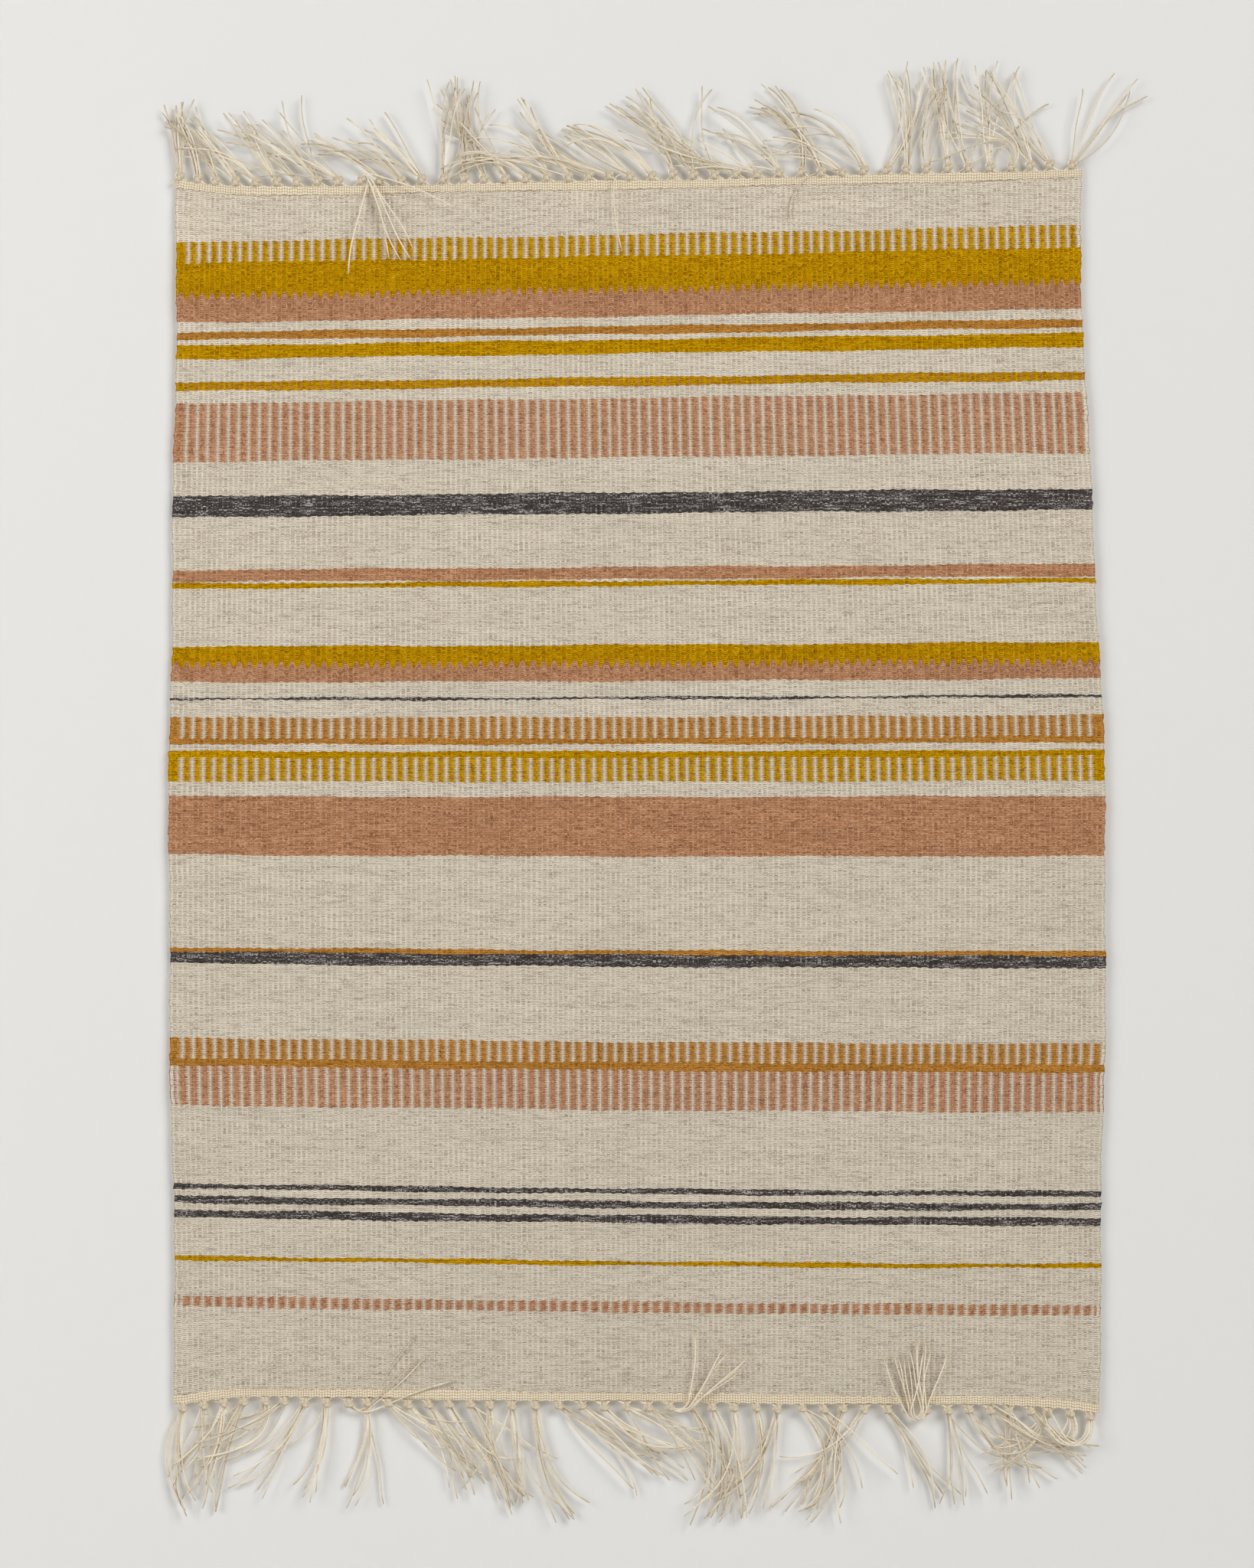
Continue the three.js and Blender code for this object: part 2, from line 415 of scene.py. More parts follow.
@dataclass(frozen=True)
class Cotton(Finish):
    """Cream cotton cord, unbleached and mercerised a little, so it is smoother than the wool."""

    name: str = "cotton_cord"
    ground: str = "f6ead2"
    # hollow: the colour painted into the hollows between the beads, as painted shade.
    hollow: str = "b8a17c"
    row_mm: float = 1.5

    def surface(self, tree: Any) -> dict[str, Any]:
        """Adds the finish's own nodes; returns what its shader is fed."""
        place = add_node(tree, "Attribute", attribute_name=WEAVE).outputs["Vector"]
        warp, pick, _ = add_node(tree, "SeparateXYZ", {0: place}).outputs
        grain = {"Vector": place, "Scale": 0.8, "Detail": 3.0, "Roughness": 0.6}
        noise = add_node(tree, "TexNoise", grain)
        mottled = add_node(tree, "MapRange", {"Value": noise, 1: 0.35, 2: 0.7, 3: 0.0, 4: 0.25})
        # Two cords twine round the warp ends: two short beads to each end, row on row like bricks.
        row = add_node(tree, "Math", {0: pick, 1: PICK_MM / self.row_mm}, operation="MULTIPLY")
        whole = add_node(tree, "Math", {0: row}, operation="FLOOR")
        bead = add_node(tree, "Math", {0: whole, 1: 0.5, 2: warp}, operation="MULTIPLY_ADD")
        swells = {0: arches(tree, bead, 2 * math.pi), 1: arches(tree, row, math.pi)}
        height = add_node(tree, "Math", swells, operation="MULTIPLY")
        # Painted shade: the hollows between the beads are drawn in the darker hollow colour, with the
        # noise mottling added on top.
        depth = add_node(tree, "MapRange", {"Value": height, 1: 0.0, 2: 0.55, 3: 0.85, 4: 0.0})
        hollow_shade_and_mottle = add_node(tree, "Math", {0: depth, 1: mottled}, use_clamp=True)
        tints = {0: hollow_shade_and_mottle, 6: linear(self.ground), 7: linear(self.hollow)}
        colour = add_node(tree, "Mix", tints, data_type="RGBA")
        bump = add_node(tree, "Bump", {"Strength": 0.9, "Distance": 0.5 * MM, "Height": height})
        gloss = {"Roughness": 0.85, "Specular IOR Level": 0.25, "Sheen Weight": 0.08}
        return {"Base Color": colour, "Normal": bump, **gloss}


@dataclass(frozen=True)
class Linen(Finish):
    """Two-ply line linen, unbleached: springy, smooth, with a slight silky lustre."""

    name: str = "line_linen"
    ground: str = "eadfca"
    dark: str = "b0a083"
    tip: str = "a5946f"
    ply_length_mm: float = 2.4

    def surface(self, tree: Any) -> dict[str, Any]:
        """Adds the finish's own nodes; returns what its shader is fed."""
        # A strand's mark holds millimetres along it, its share of the way to the tip, and a tone; on
        # the knot, the tone also carries painted shade in the furrows.
        mark = add_node(tree, "Attribute", attribute_name=STRAND).outputs["Vector"]
        along, tipward, tone = add_node(tree, "SeparateXYZ", {0: mark}).outputs
        per_ply = {0: along, 1: 2 * math.pi / self.ply_length_mm}
        twist = add_node(tree, "Math", per_ply, operation="MULTIPLY")
        ply = add_node(tree, "Math", {0: twist}, operation="SINE")
        noise = add_node(tree, "TexNoise", {"Vector": mark, "Scale": 0.35, "Detail": 3.0})
        toned = add_node(tree, "Math", {0: noise, 1: 0.5, 2: tone}, operation="MULTIPLY_ADD")
        colour = linear(self.ground)
        for tint, value, start, full, most in (
            (self.dark, toned, 0.3, 1.15, 0.8),
            (self.tip, tipward, 0.88, 1.0, 0.7),
        ):
            reach = {"Value": value, 1: start, 2: full, 3: 0.0, 4: most}
            share = add_node(tree, "MapRange", reach)
            colour = add_node(tree, "Mix", {0: share, 6: colour, 7: linear(tint)}, data_type="RGBA")
        bump = add_node(tree, "Bump", {"Strength": 0.5, "Distance": 0.12 * MM, "Height": ply})
        return {"Base Color": colour, "Roughness": 0.62, "Specular IOR Level": 0.35, "Normal": bump}


@dataclass(frozen=True)
class PaintedBoard(Finish):
    """A pale painted board; one-sided, it is left out from behind, so the cloth's back shows."""

    name: str
    ground: str = "dcdbd9"
    one_sided: bool = False
    lets_pass: float = 0.08  # a one-sided board stops no light that starts this close to it

    def surface(self, tree: Any) -> dict[str, Any]:
        """Even, matt paint."""
        return {"Base Color": linear(self.ground), "Roughness": 0.8, "Specular IOR Level": 0.2}

    def cut_away(self, tree: Any, shader: Any) -> Any:
        """Leaves a one-sided board out from behind and from very near."""
        if not self.one_sided:
            return shader
        back = add_node(tree, "NewGeometry").outputs["Backfacing"]
        length = add_node(tree, "LightPath").outputs["Ray Length"]
        close = add_node(tree, "Math", {0: length, 1: self.lets_pass}, operation="LESS_THAN")
        gone = add_node(tree, "Math", {0: back, 1: close}, operation="MAXIMUM")
        return add_node(tree, "MixShader", {0: gone, 1: shader, 2: add_node(tree, "BsdfTransparent")})


NATURAL = Wool("eee2cd", "9e8677", "f8eedb", 0.62, 0.7, 0.06, 9.0, 0.95)
WOOLS = {
    Yarn.NATURAL: NATURAL,
    Yarn.MUSTARD: Wool("ce9800", "7f5200", "eaba1a", 0.75, 0.7, 0.08),
    Yarn.ROSE: Wool("ca926b", "845439", "e8b892", 0.75, 0.75, 0.08),
    Yarn.OCHRE: Wool("c68838", "82501a", "e2a75c", 0.75, 0.7, 0.08),
    Yarn.CHARCOAL: Wool("4e4643", "352e2c", "d4ceca", 0.6, 0.95, 0.1, 11.0, 0.85),
}


class Finishes:
    """Makes each finish once, when a piece first asks for it."""

    OTHER_SHED = ("rose_bars_02", "rose_bars_03")  # their bars lie on the other warp ends
    TURNED_AT_RIGHT = ("ochre_bars_01", "mustard_bars_02")
    MIXED_RUN = "mustard_03"  # two yarns laid in by turns, one on each second warp end

    def __init__(self) -> None:
        """Starts with no finish made."""
        self.made: dict[str, Any] = {}

    def take(self, finish: Finish) -> Any:
        """The material of a finish."""
        if finish.name not in self.made:
            self.made[finish.name] = finish.make()
        return self.made[finish.name]

    def weft(self, node: str) -> Any:
        """The material of a run of weft, by its node's name."""
        yarn = Yarn(node.split("_")[0])
        if "_bars" in node:
            share = 0.67 if yarn is Yarn.ROSE else 0.63
            name = f"{yarn.value}_and_natural_bars"
            bars = Weave(name, WOOLS[yarn], NATURAL, share)
            if node in self.OTHER_SHED:
                bars = replace(bars, name=f"{name}_other_shed", bar_middle=0.98, left_turn=-9.0)
            if node in self.TURNED_AT_RIGHT:
                bars = replace(bars, name=f"{name}_turned", right_turn=0.9)
            return self.take(bars)
        if node == self.MIXED_RUN:
            mixed = Weave("mustard_and_ochre_ends", WOOLS[yarn], WOOLS[Yarn.OCHRE], bar_share=0.7)
            return self.take(mixed)
        return self.take(Weave(f"{yarn.value}_wool", WOOLS[yarn]))


# ---- the cloth ----


@dataclass(frozen=True)
class Corners:
    """The four corners of a run in X and Z."""

    left_top: tuple[float, float]
    right_top: tuple[float, float]
    left_low: tuple[float, float]
    right_low: tuple[float, float]

    @classmethod
    def of_node(cls, node: str) -> "Corners":
        """Reads them from the flat back face of the node's solid."""
        mesh = frame["nodes"][node].data
        points = np.empty(len(mesh.vertices) * 3)
        mesh.vertices.foreach_get("co", points)
        points = points.reshape(-1, 3)
        back = np.unique(points[points[:, 1] > -1e-6][:, [0, 2]].round(7), axis=0)
        left = back[np.argsort(back[:, 0])[:2]]
        right = back[np.argsort(back[:, 0])[-2:]]
        ordered = [side[np.argsort(side[:, 1])] for side in (left, right)]
        (left_low, left_top), (right_low, right_top) = ordered
        return cls(tuple(left_top), tuple(right_top), tuple(left_low), tuple(right_low))

    def border(self, upper: bool) -> tuple[tuple[float, float], tuple[float, float]]:
        """The left and the right end of the upper or lower border."""
        return (self.left_top, self.right_top) if upper else (self.left_low, self.right_low)

    def middle_height(self, upper: bool) -> float:
        """The height of the upper or lower border at the middle of the cloth."""
        left, right = self.border(upper)
        return (left[1] + right[1]) / 2


@dataclass
class ClothShape:
    """How the whole cloth lies: shared by all its runs, so that they stay in line."""

    thickness: float = 3.2 * MM
    top: float = 2.3 * MM
    samples_per_end: int = 4
    rib_depth: float = 0.36 * MM
    selvedge_steps: int = 4
    seam: float = 0.15 * MM  # each run reaches this far into the gap that its solid keeps
    lift: float = 0.9 * MM
    stray_ends: float = 3.0  # the warp ends over which a selvedge's own wobble dies away
    ear_reach: float = 0.042  # the share of the width over which a corner's ear dies away

    def warp_numbers(self) -> Array:
        """The warp number of every column of points, from selvedge to selvedge."""
        return np.linspace(0, WARP_ENDS, WARP_ENDS * self.samples_per_end + 1)

    def share_across(self, warp: Array) -> Array:
        """Where a warp number lies across the cloth, 0 to 1; the ends are not quite even."""
        share = warp / WARP_ENDS
        crowding = ripple(share, ((0.0018, 0.9, 0.4), (0.0007, 0.23, 1.9), (0.00035, 0.071, 4.0)))
        return share + crowding * np.sin(math.pi * share) ** 0.5

    def selvedge_wobble(self, height: Array, side: int) -> Array:
        """How far a selvedge strays sideways at a height."""
        slow = ((0.55 * MM, 0.173, 1.1 * side), (0.3 * MM, 0.047, 0.7), (0.2 * MM, 0.0113, side))
        loops = ((0.2 * MM, 0.0053, 0.3 * side), (0.2 * MM, 0.0079, 2.0 * side))
        return ripple(height, slow + loops)

    def drift(self, share: Array, height: Array) -> Array:
        """How far the weft lines run above the straight line between their two ends.

        Args:
            share: how far across the cloth, 0 to 1.
            height: the straight line's height there.

        Returns:
            The rise at each place, most of it a lift towards the left.
        """
        down = np.linspace(0, 0.7, 8)
        all_over = (0.3, -0.5, 0.1, 1.1, 1.0, 1.9, 1.2, 0.6)
        at_left = (1.6, 1.2, 1.0, 2.2, 2.8, 3.2, 2.8, 2.0)
        at_right = (1.2, -0.6, -1.4, 0.0, 0.0, -0.4, 0.6, 1.2)
        parts = [np.interp(self.top - height, down, v) for v in (all_over, at_left, at_right)]
        inward = np.clip(share, 0, 1)
        return MM * (parts[0] + parts[1] * (1 - inward) ** 2 + parts[2] * inward**3)

    def ears(self, share: Array, end: "End") -> Array:
        """How far an end's edge runs out at its corners, where the weft pulls less."""
        left, right = ((4.8 * MM, 0.8 * MM), (5.5 * MM, 4.4 * MM))[end is End.FOOT]
        from_left = np.clip(share, 0, 1) / self.ear_reach
        from_right = np.clip(1 - share, 0, 1) / self.ear_reach
        return left * np.exp(-(from_left**1.3)) + right * np.exp(-(from_right**1.3))

    def lie(self, x: Array, z: Array) -> Array:
        """How far the cloth stands off the wall, as a distance towards the front."""
        slope = np.sin(2 * math.pi * (x / 0.37 + z / 0.52) + 0.8)
        cross = np.sin(2 * math.pi * (x / 0.21 - z / 0.3) + 2.1)
        hung = ease((self.top - z) / 0.06)
        return self.lift * hung * (1 + 0.6 * slope + 0.4 * cross) / 2


def border_line(warp: Array, number: int, edge: Edge) -> Array:
    """How a border between two runs strays from its straight line, upwards.

    Args:
        warp: the warp numbers.
        number: the border's number from the top, which sets its own slow wave.
        edge: how the runs meet.

    Returns:
        The stray at each warp number.
    """
    waves = ((0.3 * MM, 61.0, 0.0), (0.2 * MM, 23.0, 2.0), (0.08 * MM, 7.3, 1.0))
    slow = ripple(warp + 17.7 * number, waves)
    turn = np.sin(math.pi * warp)
    if edge is Edge.TOOTHED:
        turn = np.clip(1.7 * turn, -1, 1)  # teeth with flat tips
    return slow + edge.value * MM * turn


@dataclass
class Run:
    """One run of weft, or a heading: a closed ribbed sleeve between two borders.

    Args:
        shape: the lie of the whole cloth.
        node: the CAD node it stands for.
        name: the new piece's name.
        number: its number from the top, which is also its upper border's.
        count: how many runs the cloth has.
    """

    shape: ClothShape
    node: str
    name: str
    number: int
    count: int
    upper: Edge = Edge.SCALLOPED
    lower: Edge = Edge.SCALLOPED
    row_height: float = 2.1 * MM
    fullness: float = 0.0
    ribbing: float = 1.0  # the share of the ribs' depth that shows
    back_ribbing: float = 0.8  # on the back, of that

    def __post_init__(self) -> None:
        """Reads the run's corners from its solid."""
        self.corners = Corners.of_node(self.node)

    @property
    def height(self) -> float:
        """The run's height at the middle of the cloth."""
        return self.corners.middle_height(True) - self.corners.middle_height(False)

    @property
    def width(self) -> float:
        """The run's width at its middle."""
        c = self.corners
        return (c.right_top[0] - c.left_top[0] + c.right_low[0] - c.left_low[0]) / 2

    def build(self, material: Any) -> Any:
        """Models the sleeve.

        Args:
            material: its finish.

        Returns:
            The new piece.
        """
        shape = self.shape
        warp = shape.warp_numbers()
        share = shape.share_across(warp)
        rows = 1 + max(2, round(self.height / self.row_height))
        down = np.linspace(0, 1, rows)[:, None]
        upper, upper_stray = self.border(share, warp, True)
        lower, lower_stray = self.border(share, warp, False)
        straight = upper * (1 - down) + lower * down
        z = straight + (upper_stray * (1 - down) + lower_stray * down)
        radius = shape.thickness / 2
        left = self.selvedge(z[:, :1], -1) + radius
        right = self.selvedge(z[:, -1:], 1) - radius
        x = left * (1 - share) + right * share
        for side, edge, ends in ((-1, z[:, :1], warp), (1, z[:, -1:], WARP_ENDS - warp)):
            x = x + shape.selvedge_wobble(edge, side) * np.exp(-ends / shape.stray_ends)
        hollow = self.ribbing * (1 - np.abs(np.sin(math.pi * warp)) + 0 * down)
        off_wall = shape.lie(x, z)
        front_y = -shape.thickness - self.fullness + hollow * shape.rib_depth - off_wall
        back_y = -self.back_ribbing * hollow * shape.rib_depth - off_wall
        picks = (shape.top - straight) / (PICK_MM * MM)
        marks = np.stack([np.broadcast_to(warp, x.shape), picks, hollow], axis=-1)
        front = np.stack([x, front_y, z], axis=-1)
        back = np.stack([x, back_y, z], axis=-1)[:, ::-1]
        right_turn = self.turn(front[:, -1], marks[:, -1], off_wall[:, -1], 1)
        left_turn = self.turn(front[:, 0], marks[:, 0], off_wall[:, 0], -1)
        points = np.concatenate([front, right_turn[0], back, left_turn[0]], axis=1)
        all_marks = np.concatenate([marks, right_turn[1], marks[:, ::-1], left_turn[1]], axis=1)
        walls = ring_quads(rows, points.shape[1])[:, ::-1]
        faces = np.concatenate([walls, self.ends(len(warp), shape.selvedge_steps, rows)])
        sculpt = Sculpt(WEAVE)
        sculpt.add(points.reshape(-1, 3), all_marks.reshape(-1, 3), faces)
        return sculpt.finish(self.name, material)

    def border(self, share: Array, warp: Array, upper: bool) -> tuple[Array, Array]:
        """The heights along the upper or lower border, and how they stray from straight.

        Args:
            share: how far across the cloth, 0 to 1.
            warp: the warp numbers there.
            upper: the upper border, or else the lower one.

        Returns:
            The straight line's height at each place, and the stray there.
        """
        shape = self.shape
        first, last = self.corners.border(upper)
        reach = shape.seam if upper else -shape.seam
        number, edge = (self.number, self.upper) if upper else (self.number + 1, self.lower)
        straight = first[1] + (last[1] - first[1]) * share + reach
        stray = border_line(warp, number, edge) + shape.drift(share, straight)
        if number <= 1:
            stray += shape.ears(share, End.TOP)
        if number >= self.count - 1:
            stray -= shape.ears(share, End.FOOT)
        return straight, stray

    def selvedge(self, z: Array, side: int) -> Array:
        """The X of the left (-1) or right (1) selvedge at each height."""
        c = self.corners
        top, low = (c.left_top, c.left_low) if side < 0 else (c.right_top, c.right_low)
        part = (z - low[1]) / (top[1] - low[1])
        return low[0] + (top[0] - low[0]) * part

    def turn(
        self, edge: Array, marks: Array, off_wall: Array, side: int
    ) -> tuple[Array, Array]:
        """The weft's turn round the outermost warp end.

        Args:
            edge: the last column of points on the front.
            marks: their weave marks.
            off_wall: how far they stand off the wall.
            side: 1 for the right selvedge, from front to back; -1 for the left, back to front.

        Returns:
            The columns of points, and their marks.
        """
        count = self.shape.selvedge_steps
        steps = np.arange(1, count + 1) / (count + 1)
        angles = math.pi * (steps if side > 0 else 1 - steps)
        radius = self.shape.thickness / 2
        x = edge[:, :1] + side * radius * np.sin(angles)
        y = -radius - 0.95 * radius * np.cos(angles) - off_wall[:, None]
        z = np.broadcast_to(edge[:, 2:], x.shape)
        turned = np.repeat(marks[:, None], count, axis=1)
        turned[:, :, 0] -= side * 0.5 * np.sin(angles)
        return np.stack([x, y, z], axis=-1), turned

    @staticmethod
    def ends(columns: int, steps: int, rows: int) -> Array:
        """Quads that close the sleeve's upper and lower ends.

        Args:
            columns: points along the front, and along the back.
            steps: points round each selvedge, an even number.
            rows: rings of points.

        Returns:
            The quads of both ends.
        """
        front = np.arange(columns - 1)
        back = 2 * columns + steps - 1 - front
        quads = [np.stack([front, front + 1, back - 1, back], axis=-1)]
        sides = 2 * (columns + steps)
        for start in (columns - 1, 2 * columns + steps - 1):
            turn = (start + np.arange(steps + 2)) % sides
            for k in range(steps // 2):
                quads.append(turn[[k, k + 1, -2 - k, -1 - k]][None])
        upper = np.concatenate(quads)
        return np.concatenate([upper, upper[:, ::-1] + (rows - 1) * sides])


@dataclass
class Hinge:
    """A line across the cloth where it bends, from a joint of the record."""

    joint: str

    def __post_init__(self) -> None:
        """Reads the joint's two bodies, its place and its line."""
        found = next(j for j in frame["joints"] if j["name"] == self.joint)
        self.above, self.below = found["parent"], found["child"]
        self.place = np.array(found["pos_m"], dtype=float)
        across = np.array(found["axis"], dtype=float)
        self.down = np.array([-across[2], 0.0, across[0]]) * -np.sign(across[0])

    def bend(self, piece: Any, length: float) -> None:
        """Bakes the piece's transform into its mesh; the piece is not bent, and gets no body here."""
        list(self.place)
        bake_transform(piece)


@dataclass
class WarpLayer:
    """The warp ends inside one panel's weft: hidden, as they are in the real cloth."""

    node: str
    name: str
    thickness: float = 1.0 * MM
    row_height: float = 5 * MM

    def build(self, shape: ClothShape, material: Any) -> Any:
        """Models the warp ends as thin cords, one in each rib.

        Args:
            shape: the lie of the whole cloth.
            material: their finish.

        Returns:
            The new piece.
        """
        low, high = (np.array(corner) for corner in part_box(self.node))
        rows = 2 + round((high[2] - low[2]) / self.row_height)
        z = np.linspace(high[2] - 6.5 * MM, low[2] + 6.5 * MM, rows)
        share = shape.share_across(np.arange(WARP_ENDS) + 0.5)
        left, right = low[0] + 8 * MM, high[0] - 8 * MM
        x = left + (right - left) * share
        angles = math.pi / 4 + math.pi / 2 * np.arange(4)
        sculpt = Sculpt(STRAND)
        radius = self.thickness / 2
        for place in x:
            stand = shape.lie(np.full(rows, place), z)
            across = np.broadcast_to(place + radius * np.cos(angles), (rows, 4))
            out = -1.6 * MM + radius * np.sin(angles)[None, :] - stand[:, None]
            up = np.broadcast_to(z[:, None], (rows, 4))
            points = np.stack([across, out, up], axis=-1).reshape(-1, 3)
            marks = np.stack([up.ravel() / MM, 0 * up.ravel(), 0 * up.ravel()], axis=-1)
            quads = ring_quads(rows, 4)[:, ::-1]
            last = 4 * (rows - 1)
            ends = np.array([[0, 1, 2, 3], [last + 3, last + 2, last + 1, last]])
            sculpt.add(points, marks, np.concatenate([quads, ends]))
        return sculpt.finish(self.name, material)


class Cloth:
    """The woven cloth: 49 runs of weft, the two headings and the warp ends inside."""

    TOOTHED_BORDERS = (("mustard_01", "rose_01"), ("mustard_05", "rose_03"))
    HINGED = (
        ("upper_bend", "natural_01", "warp_upper", UPPER_BEND),
        ("middle_bend", "natural_09", "warp_middle", 33 * MM),
        ("lower_bend", "natural_15", "warp_lower", 42 * MM),
    )

    def __init__(self, shape: ClothShape, finishes: Finishes) -> None:
        """Keeps the cloth's shape and the finishes, and starts with no piece made."""
        self.shape = shape
        self.finishes = finishes
        self.pieces: dict[str, Any] = {}
        self.runs: list[Run] = []
        self.bodies = frame["record"]["behaviour"]["bodies"]

    def build(self) -> None:
        """Builds every run from the top down, then the warp ends, and hands them to hang."""
        self.plan()
        for run in self.runs:
            if "heading" in run.node:
                material, slot = self.finishes.take(Cotton()), "heading_cotton"
            else:
                material = self.finishes.weft(run.node)
                slot = f"{run.node.split('_')[0]}_wool"
            self.add(run.node, run.build(material), slot)
        linen = self.finishes.take(Linen())
        for panel in ("upper", "middle", "lower"):
            layer = WarpLayer(f"warp_{panel}", f"warp_ends_{panel}")
            self.add(layer.node, layer.build(self.shape, linen), "warp_linen")
        self.hang()

    def plan(self) -> None:
        """Lists the runs from the top of the cloth to its foot."""
        yarns = tuple(yarn.value for yarn in Yarn)
        nodes = [n for n in frame["nodes"] if n.startswith(yarns)]
        nodes.sort(key=lambda n: -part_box(n)[1][2])
        order = ["heading_top", *nodes, "heading_foot"]
        for number, node in enumerate(order):
            heading = "heading" in node
            name = f"twined_{node}" if heading else f"weft_{node}"
            run = Run(self.shape, node, name, number, len(order))
            if heading:  # its cords ride higher and half hide the ribs
                run.row_height, run.fullness, run.ribbing = 1.2 * MM, 0.5 * MM, 0.4
            self.runs.append(run)
        for above, below in zip(self.runs, self.runs[1:], strict=False):
            if (above.node, below.node) in self.TOOTHED_BORDERS:
                above.lower = below.upper = Edge.TOOTHED

    def add(self, node: str, piece: Any, slot: str) -> None:
        """Notes a new piece as the one that stands for a node."""
        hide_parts(node)
        self.pieces[node] = piece
        log.info("%s: %d faces", piece.name, len(piece.data.polygons))

    def hang(self) -> None:
        """Gives every piece its body, but for the runs and warp ends listed in HINGED: these get no
        body, and their transforms are only baked.
        """
        bending = set()
        for joint, *nodes, length in self.HINGED:
            hinge = Hinge(joint)
            for node in nodes:
                hinge.bend(self.pieces[node], length)
                bending.add(node)
        for body, nodes in self.bodies.items():
            for node in nodes:
                if node in self.pieces and node not in bending:
                    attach(self.pieces[node], body)

    def declare(self, going_along: dict[str, list[Any]]) -> None:
        """Gathers each run of 10 mm or more with the pieces that go with it, and works out its flat
        size; nothing is declared.

        Args:
            going_along: the pieces, such as tassels, that go with a run, by its node.
        """
        tall = [run for run in self.runs if run.height >= 10 * MM and "heading" not in run.node]
        kept: dict[str, list[Any]] = {run.node: [] for run in tall}
        owner = tall[0].node
        for run in self.runs:
            if run.node in kept:
                owner = run.node
            else:
                kept[owner].append(self.pieces[run.node])
        for _, first, warp, _ in self.HINGED:
            kept[first].append(self.pieces[warp])
        for node, pieces in going_along.items():
            kept[node].extend(pieces)
        for run in tall:
            flat = (round(run.width, 4), round(run.height, 4))


# ---- the fringe ----


@dataclass(frozen=True)
class Lay:
    """How one tassel lies: degrees, from straight away from the cloth, right plus, and mm."""

    lean: float
    bend: float
    fan: float = 9
    reach: float = 58
    turned_by: float = 1.0  # the share of the length by which the bend is over
    strays: int = 1

    @property
    def over_cloth(self) -> bool:
        """Whether the tassel is turned back over the face of the cloth."""
        return abs(self.lean + self.bend) > 125


TOP_LAYS = (
    Lay(-3, -12, 5, 45, 1, 0),
    Lay(-8, -10, 5, 43, 1, 0),
    Lay(-20, -35, 10, 50),
    Lay(-25, -20, 10, 47),
    Lay(-42, -40, 14, 53),
    Lay(-32, -20, 10, 51, 1, 2),
    Lay(-38, -18, 8, 57),
    Lay(-42, -12, 8, 58),
    Lay(-50, -25, 14, 52),
    Lay(25, 132, 46, 62, 0.15, 0),
    Lay(-52, -25, 14, 52),
    Lay(-45, -35, 18, 52, 1, 2),
    Lay(-38, -25, 18, 50, 1, 2),
    Lay(0, 2, 8, 58),
    Lay(-4, -2, 10, 58),
    Lay(-24, 22, 9, 61),
    Lay(-40, -10, 16, 52, 1, 2),
    Lay(-50, -75, 14, 54),
    Lay(-48, -70, 12, 59),
    Lay(-42, 22, 7, 56, 1, 2),
    Lay(-65, -5, 12, 58),
    Lay(-72, 12, 10, 56),
    Lay(-48, -6, 12, 52),
    Lay(-38, -48, 12, 60),
    Lay(-12, -35, 12, 56, 1, 2),
    Lay(-30, -22, 14, 59, 1, 2),
    Lay(-46, 3, 7, 68),
    Lay(-68, -5, 10, 50),
    Lay(-74, -10, 12, 48),
    Lay(-32, -45, 22, 57, 1, 2),
    Lay(5, -72, 9, 58),
    Lay(-22, -45, 9, 61),
    Lay(-50, -45, 14, 53, 1, 2),
    Lay(-22, -70, 10, 58),
    Lay(38, -38, 10, 61),
    Lay(3, -28, 9, 61),
    Lay(-14, 38, 12, 53),
    Lay(-3, -10, 9, 63, 1, 0),
    Lay(-18, 22, 11, 63),
    Lay(-3, 12, 6, 62),
    Lay(30, -112, 12, 62, 0.45, 2),
    Lay(-20, -22, 12, 63),
    Lay(-42, 10, 14, 68, 1, 2),
    Lay(32, 2, 24, 62, 1, 1),
)

FOOT_LAYS = (
    Lay(-15, 45, 7, 63),
    Lay(-6, -12, 20, 50, 1, 2),
    Lay(-15, -20, 14, 55),
    Lay(-25, 5, 10, 66),
    Lay(8, -95, 12, 60, 0.6),
    Lay(-48, -42, 10, 60),
    Lay(-24, -25, 7, 70),
    Lay(-2, -25, 5, 63),
    Lay(38, 84, 6, 66, 0.3, 0),
    Lay(10, -30, 6, 63),
    Lay(55, 30, 12, 60),
    Lay(45, -18, 9, 63),
    Lay(38, -10, 14, 60),
    Lay(28, 15, 14, 58),
    Lay(30, 0, 9, 66),
    Lay(-2, 35, 9, 66),
    Lay(6, 3, 9, 63),
    Lay(4, 30, 6, 76, 1, 0),
    Lay(58, 5, 7, 73),
    Lay(55, 0, 10, 60),
    Lay(40, 35, 12, 66),
    Lay(60, 12, 12, 58),
    Lay(48, -12, 14, 60),
    Lay(58, 92, 6, 58, 0.32, 0),
    Lay(36, -50, 9, 72),
    Lay(30, -55, 9, 72),
    Lay(8, -38, 8, 74),
    Lay(15, -60, 9, 66),
    Lay(-5, -48, 10, 68, 1, 2),
    Lay(48, -85, 12, 74, 1, 2),
    Lay(34, -75, 8, 72),
    Lay(-20, -20, 7, 72),
    Lay(-34, -14, 7, 66, 1, 2),
    Lay(40, -12, 14, 66),
    Lay(12, 150, 5, 60, 0.35, 0),
    Lay(-10, -160, 6, 52, 0.35, 0),
    Lay(15, 5, 10, 62),
    Lay(30, 50, 12, 56),
    Lay(55, 20, 12, 60),
    Lay(5, 10, 16, 52, 1, 2),
    Lay(42, 15, 14, 48),
    Lay(-30, -50, 14, 50),
    Lay(26, -130, 10, 62, 0.6),
    Lay(8, -150, 8, 50, 0.8, 1),
)


